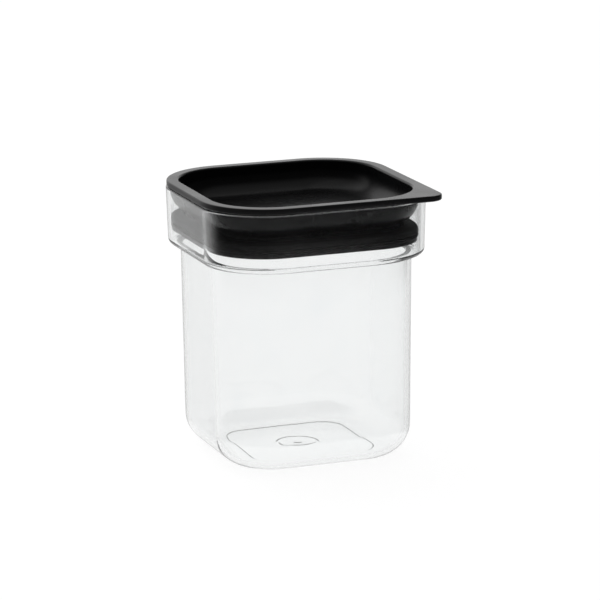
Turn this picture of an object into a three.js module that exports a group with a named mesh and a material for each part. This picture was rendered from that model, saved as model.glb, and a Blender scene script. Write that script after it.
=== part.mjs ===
// Square dry-food canister: a clear moulded box and a dished push-in lid with a soft two-lip seal.
// Millimetres, +Z up. Origin at the centre of the base; the lid's finger corner points to +X, -Y.
import * as THREE from 'three';
import { mergeVertices } from 'three/addons/utils/BufferGeometryUtils.js';

// ---- Heights above the resting surface ----
const FOOT_RECESS = 0.5;        // the middle of the base stands this far off the table
const BASE_ROUND = 13.65;       // radius of the rounded lower edge, outside
const SHOULDER_Z = 89.4;        // underside of the shoulder that carries the collar
const RIM_Z = 115;              // top of the collar
const LID_FOOT_Z = 96;          // lowest face of the lid
const SEAL_LOW_Z = 98.2;        // underside of the seal, just clear of the flange that holds it
const GROOVE_Z = 99.6;          // bottom of the groove between the seal's lips
const BROW_Z = 100.6;           // widest line of the seal's upper lip
const SEAL_TOP_Z = 102.5;       // highest edge of the seal, next to the waist
const DISH_FLOOR_Z = 104.9;     // floor of the lid's dish
const FLANGE_UNDER_Z = 115.3;   // underside of the lid's flange, just clear of the rim
const FLANGE_TOP_Z = 117.84;    // top of the flange, the highest face

// ---- Half widths, measured from the middle to a flat side ----
const FOOT_HALF = 30.4;         // flat foot, where the rounded lower edge begins
const RECESS_HALF = 28.4;       // step of the recess in the base
const BODY_TOP_HALF = 45.15;    // body just under the shoulder
const COLLAR_LOW_HALF = 49.4;   // collar just above the shoulder
const RIM_HALF = 50;            // collar at the rim
const SKIRT_HALF = 40;          // outside of the lid's skirt, under the seal
const LID_FOOT_HALF = 46.4;     // small flange at the foot of the skirt that holds the seal
const DISH_HALF = 44.7;         // dish wall, inside
const FLANGE_HALF = 50.15;      // outside of the lid's flange
const LIP_HALF = 46.95;         // outside of the seal's lips

// ---- Thicknesses and rounds ----
const WALL = 2.2;               // wall of the clear box
const LID_WALL = 2.3;           // wall of the dish and skirt
const LID_FOOT_THICK = 1.9;     // the small flange that holds the seal
const DISH_ROUND = 9.5;         // concave round between the dish's wall and floor
const SHOULDER_ROUND = 2.6;     // outside round between shoulder and collar
const SHOULDER_FILLET = 0.15;   // small fillet between body and shoulder, outside
const SHOULDER_EDGE = 0.15;     // rounded edge between body and shoulder, inside
const SHOULDER_FALL = 0.6;      // the top of the shoulder falls this much towards the inside
const RIM_ROUND = 0.8;          // rounded edges of the rim
const FLANGE_ROUND = 0.6;       // rounded edge of the flange
const MOUTH_ROUND = 1;          // rounded edge between the flange and the dish
const EDGE_BREAK = 0.4;         // broken edges of the skirt
const LIP_ROUND = 0.6;          // edge of the seal's lower lip
const BROW_ROUND = 1.7;         // edge of the seal's upper lip
const GROOVE_DEPTH = 0.9;       // groove between the seal's lips
const SEAL_BEVEL = 0.45;        // bevel at the top of the seal's inner side
const SEAL_GAP = 0.3;           // clearance between the seal and the lid that carries it

// ---- Corner centres, measured from the middle along each side ----
const BASE_CORNER = 18.05;      // corner radius 26 at the foot of the body
const BODY_CORNER = 16.95;      // corner radius 28.2 under the shoulder
const COLLAR_CORNER = 21.4;     // corner radius 28.6 at the rim, shared by the lid's plug
const DISH_CORNER = 20;         // corner radius 24.7 at the mouth of the dish
const FLANGE_CORNER = 19.65;    // corner radius 30.5 on three corners of the flange
const FINGER_CORNER = 43.15;    // corner radius 7 on the finger corner of the flange

const CORNER_STEPS = 8;         // straight pieces in each rounded corner
const COLUMNS = 4 * (CORNER_STEPS + 1);
const FINGER_QUADRANT = 3;      // the corner at +X, -Y

// A profile point: half width, height, corner centre, and the corner centre of the finger corner.
const at = (half, z, corner, finger = corner) => ({ half, z, corner, finger });

// Points along an arc of the profile; corner is a number or a function of the half width.
function arc(half, z, radius, fromDeg, toDeg, steps, corner) {
  const points = [];
  for (let i = 0; i <= steps; i += 1) {
    const angle = THREE.MathUtils.degToRad(fromDeg + ((toDeg - fromDeg) * i) / steps);
    const h = half + radius * Math.cos(angle);
    const c = typeof corner === 'function' ? corner(h) : corner;
    points.push(at(h, z + radius * Math.sin(angle), c));
  }
  return points;
}

// Where one column of the rounded square meets the level of a profile point.
function outlinePoint(point, column) {
  const quadrant = Math.floor(column / (CORNER_STEPS + 1));
  const step = column % (CORNER_STEPS + 1);
  const angle = (Math.PI / 2) * (quadrant + step / CORNER_STEPS);
  const wanted = quadrant === FINGER_QUADRANT ? point.finger : point.corner;
  const centre = Math.min(wanted, point.half);
  const radius = point.half - centre;
  const signX = quadrant === 0 || quadrant === 3 ? 1 : -1;
  const signY = quadrant < 2 ? 1 : -1;
  return [signX * centre + radius * Math.cos(angle), signY * centre + radius * Math.sin(angle)];
}

// A lathe whose circles are drawn out to rounded squares.
function squareLathe(profile) {
  const points = profile.map((point) => new THREE.Vector2(point.half, point.z));
  const lathe = new THREE.LatheGeometry(points, COLUMNS);
  const position = lathe.attributes.position;
  for (let column = 0; column <= COLUMNS; column += 1) {
    profile.forEach((point, row) => {
      const [x, y] = outlinePoint(point, column % COLUMNS);
      position.setXYZ(column * profile.length + row, x, y, point.z);
    });
  }
  lathe.deleteAttribute('normal');
  lathe.deleteAttribute('uv');
  const geometry = mergeVertices(lathe, 1e-4);
  geometry.computeVertexNormals();
  return geometry;
}

// ---- Clear box: foot, rounded lower edge, body, shoulder, collar and rim in one wall ----
function canisterProfile() {
  const bodyInTop = BODY_TOP_HALF - WALL;
  const collarInLow = COLLAR_LOW_HALF - WALL;
  const rimIn = RIM_HALF - WALL;
  const spread = (COLLAR_CORNER - BODY_CORNER) / (COLLAR_LOW_HALF - BODY_TOP_HALF);
  const outerCorner = (h) => BODY_CORNER + (h - BODY_TOP_HALF) * spread;
  const innerCorner = (h) => BODY_CORNER + (h - bodyInTop) * spread;
  const filletHalf = BODY_TOP_HALF + SHOULDER_FILLET;
  const filletZ = SHOULDER_Z - SHOULDER_FILLET;
  const roundHalf = COLLAR_LOW_HALF - SHOULDER_ROUND;
  const roundZ = SHOULDER_Z + SHOULDER_ROUND;
  const edgeZ = SHOULDER_Z + WALL - SHOULDER_FALL - SHOULDER_EDGE;
  const rimZ = RIM_Z - RIM_ROUND;
  return [
    at(0, FOOT_RECESS, BASE_CORNER),
    at(RECESS_HALF - FOOT_RECESS, FOOT_RECESS, BASE_CORNER),
    at(RECESS_HALF, 0, BASE_CORNER),
    ...arc(FOOT_HALF, BASE_ROUND, BASE_ROUND, -90, 0, 8, BASE_CORNER),
    ...arc(filletHalf, filletZ, SHOULDER_FILLET, 180, 90, 3, outerCorner),
    ...arc(roundHalf, roundZ, SHOULDER_ROUND, -90, 0, 5, outerCorner),
    ...arc(RIM_HALF - RIM_ROUND, rimZ, RIM_ROUND, 0, 90, 3, COLLAR_CORNER),
    ...arc(rimIn + RIM_ROUND, rimZ, RIM_ROUND, 90, 180, 3, COLLAR_CORNER),
    at(collarInLow, roundZ, COLLAR_CORNER),
    ...arc(roundHalf, roundZ, SHOULDER_ROUND - WALL, -30, -90, 2, innerCorner),
    ...arc(bodyInTop + SHOULDER_EDGE, edgeZ, SHOULDER_EDGE, 90, 180, 3, innerCorner),
    ...arc(FOOT_HALF, BASE_ROUND, BASE_ROUND - WALL, 0, -90, 8, BASE_CORNER),
    at(0, WALL, BASE_CORNER),
  ];
}

// ---- Lid: skirt with its foot flange, waist, dish and flange with one finger corner ----
function lidProfile() {
  const skirtIn = SKIRT_HALF - LID_WALL;
  const underFloor = DISH_FLOOR_Z - LID_WALL;
  const footTop = LID_FOOT_Z + LID_FOOT_THICK;
  const roundHalf = DISH_HALF - DISH_ROUND;
  const roundZ = DISH_FLOOR_Z + DISH_ROUND;
  const outerRound = DISH_ROUND + LID_WALL;
  const waistDeg = -THREE.MathUtils.radToDeg(Math.acos((SKIRT_HALF - roundHalf) / outerRound));
  const plugHalf = DISH_HALF + LID_WALL;
  const plug = COLLAR_CORNER;
  const rimOf = (inset, z) => at(FLANGE_HALF - inset, z, FLANGE_CORNER, FINGER_CORNER);
  const rimEdge = [0, Math.PI / 4, Math.PI / 2].map((turn) =>
    rimOf(FLANGE_ROUND * (1 - Math.cos(turn)), FLANGE_TOP_Z - FLANGE_ROUND * (1 - Math.sin(turn))));
  return [
    at(0, underFloor, plug),
    ...arc(skirtIn - EDGE_BREAK, underFloor - EDGE_BREAK, EDGE_BREAK, 90, 0, 2, plug),
    ...arc(skirtIn + EDGE_BREAK, LID_FOOT_Z + EDGE_BREAK, EDGE_BREAK, 180, 270, 1, plug),
    ...arc(LID_FOOT_HALF - EDGE_BREAK, LID_FOOT_Z + EDGE_BREAK, EDGE_BREAK, -90, 0, 2, plug),
    ...arc(LID_FOOT_HALF - EDGE_BREAK, footTop - EDGE_BREAK, EDGE_BREAK, 0, 90, 2, plug),
    at(SKIRT_HALF, footTop, plug),
    ...arc(roundHalf, roundZ, outerRound, waistDeg, 0, 7, plug),
    ...arc(plugHalf + EDGE_BREAK, FLANGE_UNDER_Z - EDGE_BREAK, EDGE_BREAK, 180, 90, 2, plug),
    rimOf(FLANGE_ROUND, FLANGE_UNDER_Z),
    rimOf(0, FLANGE_UNDER_Z + FLANGE_ROUND),
    ...rimEdge,
    ...arc(DISH_HALF + MOUTH_ROUND, FLANGE_TOP_Z - MOUTH_ROUND, MOUTH_ROUND, 90, 180, 3, DISH_CORNER),
    ...arc(roundHalf, roundZ, DISH_ROUND, 0, -90, 7, DISH_CORNER),
    at(0, DISH_FLOOR_Z, DISH_CORNER),
  ];
}

// ---- Seal: a band round the skirt with two lips and a groove between them ----
function sealProfile() {
  const bandIn = SKIRT_HALF + SEAL_GAP;
  const start = at(bandIn, SEAL_LOW_Z, COLLAR_CORNER);
  return [
    start,
    ...arc(LIP_HALF - LIP_ROUND, SEAL_LOW_Z + LIP_ROUND, LIP_ROUND, -90, 60, 4, COLLAR_CORNER),
    at(LIP_HALF - GROOVE_DEPTH, GROOVE_Z, COLLAR_CORNER),
    ...arc(LIP_HALF - BROW_ROUND, BROW_Z, BROW_ROUND, -30, 80, 5, COLLAR_CORNER),
    at(bandIn + SEAL_BEVEL, SEAL_TOP_Z, COLLAR_CORNER),
    at(bandIn, SEAL_TOP_Z - SEAL_BEVEL, COLLAR_CORNER),
    start,
  ];
}

function part(name, profile, colour, roughness) {
  const material = new THREE.MeshStandardMaterial({ color: colour, roughness, metalness: 0 });
  const mesh = new THREE.Mesh(squareLathe(profile), material);
  mesh.name = name;
  return mesh;
}

const canister = new THREE.Group();
canister.name = 'storage_canister';
canister.add(part('canister_body', canisterProfile(), 0xdfe6e8, 0.1));
canister.add(part('lid_shell', lidProfile(), 0x141415, 0.45));
canister.add(part('lid_seal', sealProfile(), 0x1c1c1d, 0.75));

export default canister;
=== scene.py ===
# %% [markdown]
# # A square storage canister
# The real object is a clear moulded box with a wide collar, closed by a black dished lid that carries
# a soft seal. This file rebuilds the visible surfaces of the three pieces at full quality, gives each
# one its finish, and lights them on a plain pale floor.

# %% Load the frame
import bpy
import math
from mathutils import Matrix, Vector


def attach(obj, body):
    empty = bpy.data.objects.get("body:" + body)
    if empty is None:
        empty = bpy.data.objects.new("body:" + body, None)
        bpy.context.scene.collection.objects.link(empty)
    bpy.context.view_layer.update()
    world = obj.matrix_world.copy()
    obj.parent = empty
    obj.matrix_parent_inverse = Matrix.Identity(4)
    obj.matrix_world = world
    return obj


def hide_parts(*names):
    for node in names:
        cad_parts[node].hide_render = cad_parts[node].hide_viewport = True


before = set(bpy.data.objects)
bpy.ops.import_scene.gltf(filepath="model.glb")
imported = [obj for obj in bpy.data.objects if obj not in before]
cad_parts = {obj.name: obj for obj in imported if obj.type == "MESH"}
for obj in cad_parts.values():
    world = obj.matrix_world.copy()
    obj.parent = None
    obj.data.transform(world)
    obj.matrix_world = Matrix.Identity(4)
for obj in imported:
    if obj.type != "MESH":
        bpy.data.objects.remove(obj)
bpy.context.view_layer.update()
MM = 0.001
print("frame pieces:", sorted(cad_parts))

# %% [markdown]
# Every level of this object is a square with rounded corners: the foot, the body, the collar, the lid.
# One way to make such a shape is a bevelled cube, but the corner radius changes from level to level.
# Here each level is written as a row: half width, height, and how far the corner centres sit from the
# middle. A row is walked round in fixed columns, so that any two rows can be joined with quads.

# %% Rows of the rounded square
CORNER_STEPS = 20
SIDE_STEPS = 10
QUADRANTS = ((1, 1), (-1, 1), (-1, -1), (1, -1))
FINGER = 3


def row(half, z, corner, finger=None):
    return {"half": half, "z": z, "corner": corner, "finger": corner if finger is None else finger}


def round_row(radius, z):
    return {"radius": radius, "z": z}


def square_points(level):
    corners = []
    for quadrant, (sx, sy) in enumerate(QUADRANTS):
        centre = min(level["finger"] if quadrant == FINGER else level["corner"], level["half"])
        radius = level["half"] - centre
        arc = []
        for step in range(CORNER_STEPS + 1):
            angle = math.radians(90 * (quadrant + step / CORNER_STEPS))
            arc.append((sx * centre + radius * math.cos(angle), sy * centre + radius * math.sin(angle)))
        corners.append(arc)
    points = []
    for quadrant, arc in enumerate(corners):
        points += arc
        (x0, y0), (x1, y1) = arc[-1], corners[(quadrant + 1) % 4][0]
        for step in range(1, SIDE_STEPS):
            t = step / SIDE_STEPS
            points.append((x0 + (x1 - x0) * t, y0 + (y1 - y0) * t))
    return points


GUIDE = square_points(row(28, 0, 18))


def level_points(level):
    if "radius" not in level:
        return [(x, y, level["z"]) for x, y in square_points(level)]
    return [(level["radius"] * x / math.hypot(x, y), level["radius"] * y / math.hypot(x, y), level["z"])
            for x, y in GUIDE]


def bend(half, z, radius, start, end, steps, corner):
    """Rows along an arc of the cross-section; corner is a number or a function of the half width."""
    rows = []
    for i in range(steps + 1):
        angle = math.radians(start + (end - start) * i / steps)
        h = half + radius * math.cos(angle)
        rows.append(row(h, z + radius * math.sin(angle), corner(h) if callable(corner) else corner))
    return rows


print("columns in each row:", len(GUIDE))

# %% [markdown]
# A moulded wall is one closed skin: it runs from the middle of the base, out and up the outside, over
# the rim and back down the inside. `skin` joins the rows with quads and closes both ends with a fan of
# quads round one point. A ring-shaped piece, such as the seal, closes on itself instead.
# A weighted-normal modifier keeps the flat sides flat while the small rounds shade smoothly.

# %% Skin the rows
SHARP_FROM = math.radians(50)


def stand(name, vertices, faces):
    """A new object in the scene, made of these faces."""
    mesh = bpy.data.meshes.new(name)
    mesh.from_pydata(vertices, [], faces)
    piece = bpy.data.objects.new(name, mesh)
    bpy.context.scene.collection.objects.link(piece)
    return piece


def skin(name, rows, ring=False):
    columns = len(GUIDE)
    vertices = [Vector(p) * MM for level in rows for p in level_points(level)]
    faces = []
    bands = len(rows) if ring else len(rows) - 1
    for i in range(bands):
        low, high = i * columns, ((i + 1) % len(rows)) * columns
        for k in range(columns):
            n = (k + 1) % columns
            faces.append((low + k, low + n, high + n, high + k))
    if not ring:
        for start, flip in ((0, True), ((len(rows) - 1) * columns, False)):
            hub = len(vertices)
            vertices.append(Vector((0, 0, vertices[start].z)))
            for k in range(columns):
                face = (start + k, start + (k + 1) % columns, hub)
                faces.append(face[::-1] if flip else face)
    piece = stand(name, vertices, faces)
    piece.data.validate()
    piece.data.shade_smooth()
    piece.data.set_sharp_from_angle(angle=SHARP_FROM)
    weigh = piece.modifiers.new("flat_sides", "WEIGHTED_NORMAL")
    weigh.keep_sharp = True
    return piece


def volume_ml(piece):
    """What the closed skin holds, summed over one thin pyramid for each triangle."""
    mesh = piece.data
    total = 0.0
    for face in mesh.polygons:
        first = mesh.vertices[face.vertices[0]].co
        for a, b in zip(face.vertices[1:-1], face.vertices[2:]):
            total += first.dot(mesh.vertices[a].co.cross(mesh.vertices[b].co)) / 6
    return total * 1e6


print("quads in each band of a skin:", len(GUIDE))

# %% [markdown]
# ## The clear box
# One injection moulding with a wall a little over 2 mm thick. The lower edge is a large soft round, so
# that the box can drop into the dish of the lid below. The foot is a flat ring round a shallow recess,
# and the stub left by the moulding gate stands in the middle of that recess. Near the top the wall
# steps out over a shoulder into the collar that takes the lid. The shoulder is rounded outside, its top
# falls a little towards the inside, and it meets the body at a crisp edge: a clear edge shows as a
# dark line wherever it is soft, and as a hair line where it is crisp.
# The inside wall follows the outside at one wall's distance, because moulded plastic wants an even
# thickness. Light bends truly only through a closed skin with both faces, so both are built.

# %% Cross-section of the clear box
WALL = 2.2
FOOT_RECESS, RECESS_HALF, FOOT_HALF = 0.5, 28.4, 30.4
BASE_ROUND = 13.65
BODY_TOP_HALF, SHOULDER_Z = 45.15, 89.4
COLLAR_LOW_HALF, RIM_HALF, RIM_Z = 49.4, 50.0, 115.0
SHOULDER_ROUND, SHOULDER_FILLET, SHOULDER_EDGE, SHOULDER_FALL = 2.6, 0.15, 0.15, 0.6
RIM_ROUND = 0.8
BASE_CORNER, BODY_CORNER, COLLAR_CORNER = 18.05, 16.95, 21.4
SPREAD = (COLLAR_CORNER - BODY_CORNER) / (COLLAR_LOW_HALF - BODY_TOP_HALF)


def outer_corner(half):
    """Where the corner centres of the shoulder's outside sit, between those of body and collar."""
    return BODY_CORNER + (half - BODY_TOP_HALF) * SPREAD


def inner_corner(half):
    """The same for the inside of the shoulder, one wall further in."""
    return BODY_CORNER + (half - BODY_TOP_HALF + WALL) * SPREAD


def climb(first, last, steps):
    """Evenly spaced rows between two rows, without the ends."""
    return [row(*(a + (b - a) * i / steps for a, b in zip(first, last))) for i in range(1, steps)]


fillet_half, fillet_z = BODY_TOP_HALF + SHOULDER_FILLET, SHOULDER_Z - SHOULDER_FILLET
round_half, round_z = COLLAR_LOW_HALF - SHOULDER_ROUND, SHOULDER_Z + SHOULDER_ROUND
edge_z = SHOULDER_Z + WALL - SHOULDER_FALL - SHOULDER_EDGE
rim_edge_z = RIM_Z - RIM_ROUND
body_in_low, body_in_top = FOOT_HALF + BASE_ROUND - WALL, BODY_TOP_HALF - WALL
STEP_ROUND, STEP_IN, STEP_OUT = 0.25, 0.5, 0.1
round_to_square = ((20, 12), (26, 16.5))
gate_stub = [round_row(0.9, 0.2), round_row(1.3, 0.25), round_row(1.6, 0.4), round_row(1.9, FOOT_RECESS)]
ring_groove = [round_row(7.4, FOOT_RECESS), round_row(7.8, 0.56), round_row(8.2, 0.62),
               round_row(8.8, 0.62), round_row(9.2, 0.56), round_row(9.6, FOOT_RECESS)]
box_rows = [
    *gate_stub, *ring_groove,
    *[row(half, FOOT_RECESS, corner) for half, corner in round_to_square],
    *bend(RECESS_HALF - STEP_IN, STEP_ROUND, STEP_ROUND, 90, 10, 3, BASE_CORNER),
    *bend(RECESS_HALF + STEP_OUT, STEP_ROUND, STEP_ROUND, -170, -90, 3, BASE_CORNER),
    *bend(FOOT_HALF, BASE_ROUND, BASE_ROUND, -90, 0, 20, BASE_CORNER),
    *climb((FOOT_HALF + BASE_ROUND, BASE_ROUND, BASE_CORNER), (BODY_TOP_HALF, fillet_z, BODY_CORNER), 6),
    *bend(fillet_half, fillet_z, SHOULDER_FILLET, 180, 90, 6, outer_corner),
    *bend(round_half, round_z, SHOULDER_ROUND, -90, 0, 10, outer_corner),
    *climb((COLLAR_LOW_HALF, round_z, COLLAR_CORNER), (RIM_HALF, rim_edge_z, COLLAR_CORNER), 3),
    *bend(RIM_HALF - RIM_ROUND, rim_edge_z, RIM_ROUND, 0, 90, 6, COLLAR_CORNER),
    *bend(RIM_HALF - WALL + RIM_ROUND, rim_edge_z, RIM_ROUND, 90, 180, 6, COLLAR_CORNER),
    *climb((RIM_HALF - WALL, rim_edge_z, COLLAR_CORNER),
           (COLLAR_LOW_HALF - WALL, round_z, COLLAR_CORNER), 3),
    *bend(round_half, round_z, SHOULDER_ROUND - WALL, 0, -90, 6, inner_corner),
    *bend(body_in_top + SHOULDER_EDGE, edge_z, SHOULDER_EDGE, 90, 180, 4, inner_corner),
    *climb((body_in_top, fillet_z, BODY_CORNER), (body_in_low, BASE_ROUND, BASE_CORNER), 6),
    *bend(FOOT_HALF, BASE_ROUND, BASE_ROUND - WALL, 0, -90, 20, BASE_CORNER),
    *[row(half, WALL, corner) for half, corner in reversed(round_to_square)],
    round_row(10, WALL), round_row(4, WALL),
]
clear_box = skin("clear_box", box_rows)
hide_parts("canister_body")
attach(clear_box, "canister")
print("clear box: rows", len(box_rows), "plastic", round(volume_ml(clear_box), 1), "ml")

# %% [markdown]
# ## The lid shell
# One black moulding. From the middle of its underside the skin runs out to the skirt, round the small
# flange at the skirt's foot that keeps the seal on, up to the waist, and round the outside of the dish
# to the wide flange that rests on the rim. Three corners of that flange are well rounded. The fourth
# is left square as a finger corner that juts past the collar, so that the lid can be prised up. Extra
# rows on the top and the underside of the flange lead from the round corner to the square one.

# %% Cross-section of the lid shell
LID_WALL, EDGE_BREAK, MOUTH_ROUND, SKIRT_ROUND = 2.3, 0.4, 1.0, 1.0
SKIRT_HALF, LID_FOOT_HALF, LID_FOOT_Z, LID_FOOT_THICK, WAIST_Z = 40.0, 46.4, 96.0, 1.9, 101
DISH_HALF, DISH_ROUND, DISH_FLOOR_Z = 44.7, 9.5, 104.9
FLANGE_HALF, FLANGE_UNDER_Z, FLANGE_TOP_Z, FLANGE_ROUND = 50.15, 115.3, 117.84, 0.6
DISH_CORNER, FLANGE_CORNER, FINGER_CORNER = 20.0, 19.65, 43.15


def flange_bend(z, start, end, steps):
    """Rows round one edge of the flange, with the finger corner kept square."""
    rows = []
    for i in range(steps + 1):
        angle = math.radians(start + (end - start) * i / steps)
        rows.append(row(FLANGE_HALF - FLANGE_ROUND * (1 - math.cos(angle)),
                        z + FLANGE_ROUND * math.sin(angle), FLANGE_CORNER, FINGER_CORNER))
    return rows


skirt_in, under_floor = SKIRT_HALF - LID_WALL, DISH_FLOOR_Z - LID_WALL
dish_half, dish_z = DISH_HALF - DISH_ROUND, DISH_FLOOR_Z + DISH_ROUND
outer_round, plug_half = DISH_ROUND + LID_WALL, DISH_HALF + LID_WALL
waist = -math.degrees(math.acos((SKIRT_HALF - dish_half) / outer_round))
foot_top = LID_FOOT_Z + LID_FOOT_THICK
lid_gate = [round_row(0.8, under_floor - 0.3), round_row(1.2, under_floor - 0.25),
            round_row(1.4, under_floor - 0.15), round_row(1.6, under_floor)]
finger_under = [row(48.6, FLANGE_UNDER_Z, 20.5, 31)]
finger_top = [row(48.2, FLANGE_TOP_Z, 19.8, 34), row(47, FLANGE_TOP_Z, 19.9, 27)]
lid_rows = [
    *lid_gate, round_row(14, under_floor), row(24, under_floor, 14), row(33, under_floor, 19),
    *bend(skirt_in - SKIRT_ROUND, under_floor - SKIRT_ROUND, SKIRT_ROUND, 90, 0, 6, COLLAR_CORNER),
    *bend(skirt_in + EDGE_BREAK, LID_FOOT_Z + EDGE_BREAK, EDGE_BREAK, 180, 270, 4, COLLAR_CORNER),
    row(43, LID_FOOT_Z, COLLAR_CORNER),
    *bend(LID_FOOT_HALF - EDGE_BREAK, LID_FOOT_Z + EDGE_BREAK, EDGE_BREAK, -90, 0, 4, COLLAR_CORNER),
    *bend(LID_FOOT_HALF - EDGE_BREAK, foot_top - EDGE_BREAK, EDGE_BREAK, 0, 90, 4, COLLAR_CORNER),
    row(SKIRT_HALF, foot_top, COLLAR_CORNER), row(SKIRT_HALF, WAIST_Z, COLLAR_CORNER),
    *bend(dish_half, dish_z, outer_round, waist, 0, 18, COLLAR_CORNER),
    *bend(plug_half + EDGE_BREAK, FLANGE_UNDER_Z - EDGE_BREAK, EDGE_BREAK, 180, 90, 4, COLLAR_CORNER),
    *finger_under,
    *flange_bend(FLANGE_UNDER_Z + FLANGE_ROUND, -90, 0, 5),
    *flange_bend(FLANGE_TOP_Z - FLANGE_ROUND, 0, 90, 5),
    *finger_top,
    *bend(DISH_HALF + MOUTH_ROUND, FLANGE_TOP_Z - MOUTH_ROUND, MOUTH_ROUND, 90, 180, 8, DISH_CORNER),
    *bend(dish_half, dish_z, DISH_ROUND, 0, -90, 18, DISH_CORNER),
    row(33, DISH_FLOOR_Z, 18.5), row(24, DISH_FLOOR_Z, 14), round_row(14, DISH_FLOOR_Z),
    round_row(5, DISH_FLOOR_Z),
]
lid = skin("dished_lid", lid_rows)
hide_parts("lid_shell")
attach(lid, "lid")
print("lid shell: rows", len(lid_rows), "plastic", round(volume_ml(lid), 1), "ml")

# %% [markdown]
# ## The seal
# A soft ring stretched over the skirt. It has a thin lower lip and a fuller rounded upper lip with a
# groove between them, because two soft edges press on the wall more evenly than one thick band. Its
# upper side slopes in and up to the waist of the lid, which leaves the notch that shows at the sides.
# The skin of a ring closes on itself, so it needs no fan of faces at its ends.

# %% Cross-section of the seal
LIP_HALF, SEAL_LOW_Z, GROOVE_Z, BROW_Z, SEAL_TOP_Z = 46.95, 98.2, 99.6, 100.6, 102.5
LIP_ROUND, BROW_ROUND, GROOVE_DEPTH, SEAL_BEVEL = 0.6, 1.7, 0.9, 0.45
SEAL_GAP, GROOVE_ROUND, BROW_END = 0.3, 0.15, 80
seal_in = SKIRT_HALF + SEAL_GAP
brow_top = BROW_Z + BROW_ROUND * math.sin(math.radians(BROW_END))
seal_rows = [
    row(seal_in, SEAL_LOW_Z, COLLAR_CORNER), row(44, SEAL_LOW_Z, COLLAR_CORNER),
    *bend(LIP_HALF - LIP_ROUND, SEAL_LOW_Z + LIP_ROUND, LIP_ROUND, -90, 60, 8, COLLAR_CORNER),
    *bend(LIP_HALF - GROOVE_DEPTH + GROOVE_ROUND, GROOVE_Z, GROOVE_ROUND, 230, 130, 4, COLLAR_CORNER),
    *bend(LIP_HALF - BROW_ROUND, BROW_Z, BROW_ROUND, -30, BROW_END, 12, COLLAR_CORNER),
    *climb((LIP_HALF - BROW_ROUND, brow_top, COLLAR_CORNER),
           (seal_in + SEAL_BEVEL, SEAL_TOP_Z, COLLAR_CORNER), 4),
    *bend(seal_in + SEAL_BEVEL, SEAL_TOP_Z - SEAL_BEVEL, SEAL_BEVEL, 90, 180, 4, COLLAR_CORNER),
]
seal = skin("soft_seal", seal_rows, ring=True)
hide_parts("lid_seal")
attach(seal, "lid")
print("seal: rows", len(seal_rows), "rubber", round(volume_ml(seal), 1), "ml")

# %% [markdown]
# ## Finishes as Python expressions
# A finish is a small network of nodes. `Socket` wraps one output, so that `0.4 + grain * 0.1` adds the
# Math nodes by itself. `Finish.node` makes any other node: first its settings, then its inputs. Noise
# is placed by the object's own coordinates, so a pattern stays on its piece when the piece moves.

# %% Socket and Finish
class Socket:
    def __init__(self, finish, socket):
        self.finish, self.socket = finish, socket

    def maths(self, operation, first, second):
        return self.finish.node("ShaderNodeMath", {"operation": operation}, {0: first, 1: second})

    def __add__(self, other):
        return self.maths("ADD", self, other)

    __radd__ = __add__

    def __mul__(self, other):
        return self.maths("MULTIPLY", self, other)

    __rmul__ = __mul__

    def __sub__(self, other):
        return self.maths("SUBTRACT", self, other)

    def __rsub__(self, other):
        return self.maths("SUBTRACT", other, self)


class Finish:
    def __init__(self, name):
        self.material = bpy.data.materials.new(name)
        self.material.use_nodes = True
        self.tree = self.material.node_tree
        self.shader = self.tree.nodes["Principled BSDF"]
        self.place = self.node("ShaderNodeTexCoord", output="Object")

    def node(self, kind, settings=None, inputs=None, output=0):
        made = self.tree.nodes.new(kind)
        for key, value in (settings or {}).items():
            if key == "stops":
                ramp = made.color_ramp.elements
                while len(ramp) < len(value):
                    ramp.new(0.5)
                for stop, (position, colour) in zip(ramp, value):
                    stop.position, stop.color = position, colour
            else:
                setattr(made, key, value)
        for key, value in (inputs or {}).items():
            self.feed(made.inputs[key], value)
        return Socket(self, made.outputs[output])

    def feed(self, target, value):
        if isinstance(value, Socket):
            self.tree.links.new(value.socket, target)
        else:
            target.default_value = value

    def noise(self, scale, detail=3.0, roughness=0.5):
        return self.node("ShaderNodeTexNoise", inputs={
            "Vector": self.place, "Scale": scale, "Detail": detail, "Roughness": roughness})

    def spread(self, value, low, high, to_low, to_high):
        return self.node("ShaderNodeMapRange", {"interpolation_type": "SMOOTHSTEP"}, {
            "Value": value, "From Min": low, "From Max": high, "To Min": to_low, "To Max": to_high})

    def mix(self, factor, first, second):
        return self.node("ShaderNodeMix", {"data_type": "RGBA"}, {
            "Factor": factor, 6: first, 7: second}, output=2)

    def bump(self, height, depth, strength=1.0, under=None):
        inputs = {"Height": height, "Distance": depth, "Strength": strength}
        if under is not None:
            inputs["Normal"] = under
        return self.node("ShaderNodeBump", inputs=inputs)

    def set(self, **sockets):
        for name, value in sockets.items():
            self.feed(self.shader.inputs[name.replace("_", " ")], value)


print("a socket takes + - * with a number or another socket on either side")

# %% [markdown]
# ### Clear styrene plastic
# The box is water-clear, with a high gloss and an index of refraction near 1.57. What makes it look
# moulded rather than blown is slight: long soft waves in the wall where the melt flowed, and a few
# handling marks that dull the gloss. Both go into the normal and the roughness, never into the
# transmission itself, which is the same all over. The plastic also takes a little light on the way
# through. An absorbing volume does that by the length of the path, so the edges and rounds, where
# light travels along the wall, come out greyer than the flats.

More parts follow.
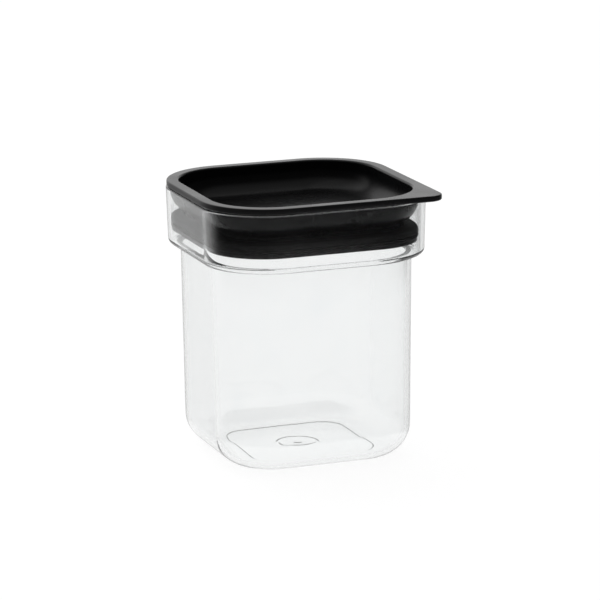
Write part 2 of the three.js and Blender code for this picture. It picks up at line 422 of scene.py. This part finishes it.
# %% Clear plastic
clear = Finish("clear_plastic")
flow = clear.noise(14.0, 2.0)
haze = clear.spread(clear.noise(55.0, 4.0), 0.5, 0.75, 0.0, 1.0)
scuffs = clear.spread(clear.noise(900.0, 2.0), 0.66, 0.74, 0.0, 1.0) * haze
waves = clear.bump(flow, 0.4 * MM, 0.12)
clear.set(
    Base_Color=clear.mix(haze, (0.985, 0.99, 0.99, 1), (0.97, 0.978, 0.98, 1)),
    Roughness=0.004 + haze * 0.02 + scuffs * 0.08,
    Normal=waves,
    IOR=1.57,
    Transmission_Weight=1.0,
)
tint = clear.node("ShaderNodeVolumeAbsorption", inputs={"Color": (0.0, 0.06, 0.05, 1), "Density": 15.0})
clear.feed(clear.tree.nodes["Material Output"].inputs["Volume"], tint)
clear_box.data.materials.append(clear.material)
print("clear plastic nodes:", len(clear.tree.nodes))

# %% [markdown]
# ### Black lid plastic
# A satin polypropylene. Its tool was spark-eroded, which leaves an even grain about a third of a
# millimetre across. Touching a lid polishes it in patches, so a slow noise changes the roughness, and
# the colour is never quite even.

# %% Lid plastic
satin = Finish("lid_plastic")
grain = satin.noise(2600.0, 2.0, 0.6)
peel = satin.noise(420.0, 2.0)
handled = satin.spread(satin.noise(38.0, 3.0), 0.42, 0.62, 0.0, 1.0)
satin.set(
    Base_Color=satin.mix(satin.noise(120.0, 3.0), (0.003, 0.003, 0.0033, 1), (0.0065, 0.0065, 0.007, 1)),
    Roughness=0.25 + grain * 0.08 - handled * 0.05,
    Normal=satin.bump(grain, 0.02 * MM, 0.25, satin.bump(peel, 0.05 * MM, 0.15)),
    IOR=1.5,
    Specular_IOR_Level=0.2,
)
lid.data.materials.append(satin.material)
print("lid plastic nodes:", len(satin.tree.nodes))

# %% [markdown]
# ### Seal rubber
# A soft thermoplastic rubber: matt, a shade lighter than the lid, and always holding a little dust.

# %% Seal rubber
soft = Finish("seal_rubber")
speck = soft.spread(soft.noise(1900.0, 2.0), 0.64, 0.72, 0.0, 1.0)
bloom = soft.noise(90.0, 3.0)
soft.set(
    Base_Color=soft.mix(speck, (0.004, 0.004, 0.0043, 1), (0.012, 0.012, 0.012, 1)),
    Roughness=0.62 + bloom * 0.14,
    Normal=soft.bump(soft.noise(1500.0, 3.0), 0.01 * MM, 0.2),
    IOR=1.45,
    Specular_IOR_Level=0.2,
)
seal.data.materials.append(soft.material)
print("seal rubber nodes:", len(soft.tree.nodes))

# %% [markdown]
# ## Floor, light and camera
# Clear plastic is shown by what stands behind it, so the canister stands on white paper that glows a
# little by itself. The paper lies a hair below the foot. It is left out of mirror reflections, which
# the room light makes on its own, so that they stay even.

# %% White paper
PAPER_HALF, PAPER_DROP = 6.0, 0.0003


def sheet(name, half, z):
    """A square sheet that lies flat, as part of the stage."""
    corners = [(-half, -half, 0), (half, -half, 0), (half, half, 0), (-half, half, 0)]
    flat = stand(name, corners, [(0, 1, 2, 3)])
    flat.location.z = z
    return flat


floor = sheet("floor", PAPER_HALF, -PAPER_DROP)
floor.visible_glossy = False
paper = Finish("white_paper")
paper.set(Base_Color=(0.2, 0.2, 0.2, 1), Roughness=0.9, Specular_IOR_Level=0.0,
          Emission_Color=(1, 1, 1, 1), Emission_Strength=0.92)
floor.data.materials.append(paper.material)
print("paper", 2 * PAPER_HALF, "m wide")

# %% [markdown]
# A round white wall closes the set, so that the canister stands before plain white from every side, low
# ones included. It gives no light and casts no shadow: it is only there to be seen, directly or through
# the clear plastic.

# %% White wall all round
WALL_TURN, WALL_LOW, WALL_HIGH = 48, -0.01, 6.0
turns = [2 * math.pi * step / WALL_TURN for step in range(WALL_TURN)]
wall_points = [(PAPER_HALF * math.cos(turn), PAPER_HALF * math.sin(turn), z)
               for z in (WALL_LOW, WALL_HIGH) for turn in turns]
wall_faces = [(i, (i + 1) % WALL_TURN, WALL_TURN + (i + 1) % WALL_TURN, WALL_TURN + i)
              for i in range(WALL_TURN)]
backdrop = stand("backdrop", wall_points, wall_faces)
backdrop.visible_diffuse = backdrop.visible_glossy = backdrop.visible_shadow = False
painted = Finish("white_paint")
painted.set(Base_Color=(0, 0, 0, 1), Roughness=1.0, Specular_IOR_Level=0.0,
            Emission_Color=(1, 1, 1, 1), Emission_Strength=1.1)
backdrop.data.materials.append(painted.material)
print("wall faces:", len(wall_faces))

# %% [markdown]
# A clear wall in front of a black lid works as a mirror: it would show the white paper over the lid.
# A studio keeps that glare away with a black card laid on the table. Here the card is a ring with soft
# edges. Its inner radius is the distance at which the collar, seen from a little above, mirrors the
# table, so that the body below the collar stays bright. The card must not show through the clear walls
# from the other side, so its alpha asks how often the light was mirrored on its way: only light that
# was mirrored at least once, and then left the plastic, meets the card.

# %% Black card
CARD_HALF, CARD_LIFT = 2.0, 0.001
CARD_NEAR, CARD_FULL = 0.31, 0.43
card = sheet("black_card", CARD_HALF, CARD_LIFT)
card.visible_camera = card.visible_diffuse = card.visible_shadow = card.visible_glossy = False
flock = Finish("black_flock")
card_x = flock.node("ShaderNodeSeparateXYZ", inputs={0: flock.place})
card_y = Socket(flock, card_x.socket.node.outputs["Y"])
away = flock.node("ShaderNodeVectorMath", {"operation": "LENGTH"}, {0: flock.place}, output=1)
turned = flock.node("ShaderNodeMath", {"operation": "ARCTAN2"}, {0: card_x, 1: 0 - card_y})
ring = flock.spread(away, CARD_NEAR, CARD_FULL, 0.0, 1.0)
left_end = flock.spread(turned, math.radians(-132), math.radians(-105), 0.0, 1.0)
right_end = flock.spread(turned, math.radians(98), math.radians(125), 1.0, 0.0)
bounces = flock.node("ShaderNodeLightPath", output="Glossy Depth")
mirrored = flock.node("ShaderNodeMath", {"operation": "GREATER_THAN"}, {0: bounces, 1: 0.5})
flock.set(Base_Color=(0.01, 0.01, 0.01, 1), Roughness=1.0, Specular_IOR_Level=0.0,
          Alpha=ring * left_end * right_end * mirrored)
card.data.materials.append(flock.material)
print("card nodes:", len(flock.tree.nodes))

# %% [markdown]
# The room light is a soft gradient on the world: bright behind the canister, dim in front of it, and
# half bright overhead. The wall that faces the viewer stays free of glare, the side walls catch the
# light at a flat angle, and the flange of the lid gets its grey sheen. Mirror rays that head steeply
# down don't see the paper, so the gradient turns bright again there. One broad sun from above adds the
# faint shadow beside the base. The world keeps its nodes in a tree of its own, and `Sky` lets the same
# expressions write to it.

# %% Room light
BACK_LIGHT, FRONT_LIGHT, TOP_LIGHT = 1.1, 0.06, 0.4
world = bpy.data.worlds.new("room")
bpy.context.scene.world = world
world.use_nodes = True


class Sky(Finish):
    def __init__(self, tree):
        self.tree = tree


sky = Sky(world.node_tree)
heading = sky.node("ShaderNodeTexCoord", output="Generated")
split = sky.node("ShaderNodeSeparateXYZ", inputs={0: heading})
toward_back = Socket(sky, split.socket.node.outputs["Y"])
upward = Socket(sky, split.socket.node.outputs["Z"])
behind = sky.spread(toward_back, 0.1, 0.9, 0.0, 1.0) * sky.spread(upward, -0.1, 0.1, 0.5, 1.0)
below = sky.spread(upward, -0.42, -0.28, 0.9, 0.0)
above = sky.spread(upward, 0.55, 0.9, 0.0, TOP_LIGHT)
lit = 1 - (1 - behind) * (1 - below) * (1 - above)
sky.tree.links.new((FRONT_LIGHT + lit * (BACK_LIGHT - FRONT_LIGHT)).socket,
                   sky.tree.nodes["Background"].inputs["Strength"])
sky.tree.nodes["Background"].inputs["Color"].default_value = (1, 1, 1, 1)

SUN_FROM = Vector((-0.35, 0.25, 1))
sun_data = bpy.data.lights.new("soft_top", "SUN")
sun_data.energy = 0.3
sun_data.angle = math.radians(70)
sun = bpy.data.objects.new("soft_top", sun_data)
bpy.context.scene.collection.objects.link(sun)
sun.rotation_euler = SUN_FROM.to_track_quat("Z", "Y").to_euler()
print("room light from", FRONT_LIGHT, "in front to", BACK_LIGHT, "behind")

# %% [markdown]
# The camera looks from a little above at the front, turned some twenty degrees to the left of it, so
# that the finger corner stands out at the right. A long lens keeps the upright edges almost parallel.

# %% Camera
AZIMUTH, ELEVATION, ROLL = math.radians(-20.39), math.radians(13.83), math.radians(-0.55)
DISTANCE, LENS, SENSOR = 1.490, 205.1736, 36
MIDDLE, AIM_RIGHT, AIM_UP = Vector((0, 0, 0.0575)), 0.00185, 0.00796
back = Vector((math.sin(AZIMUTH) * math.cos(ELEVATION), -math.cos(AZIMUTH) * math.cos(ELEVATION),
               math.sin(ELEVATION)))
right = Vector((0, 0, 1)).cross(back).normalized()
up = back.cross(right)
eye = MIDDLE + back * DISTANCE
aim = MIDDLE + right * AIM_RIGHT + up * AIM_UP
look = (eye - aim).to_track_quat("Z", "Y").to_matrix().to_4x4()
camera_data = bpy.data.cameras.new("camera")
camera_data.sensor_width = SENSOR
camera_data.lens = LENS
camera = bpy.data.objects.new("camera", camera_data)
bpy.context.scene.collection.objects.link(camera)
camera.matrix_world = Matrix.Translation(eye) @ look @ Matrix.Rotation(ROLL, 4, "Z")
bpy.context.scene.camera = camera
bpy.context.scene.view_settings.view_transform = "Standard"
print("camera lens", round(camera_data.lens, 1), "mm,", DISTANCE, "m away")
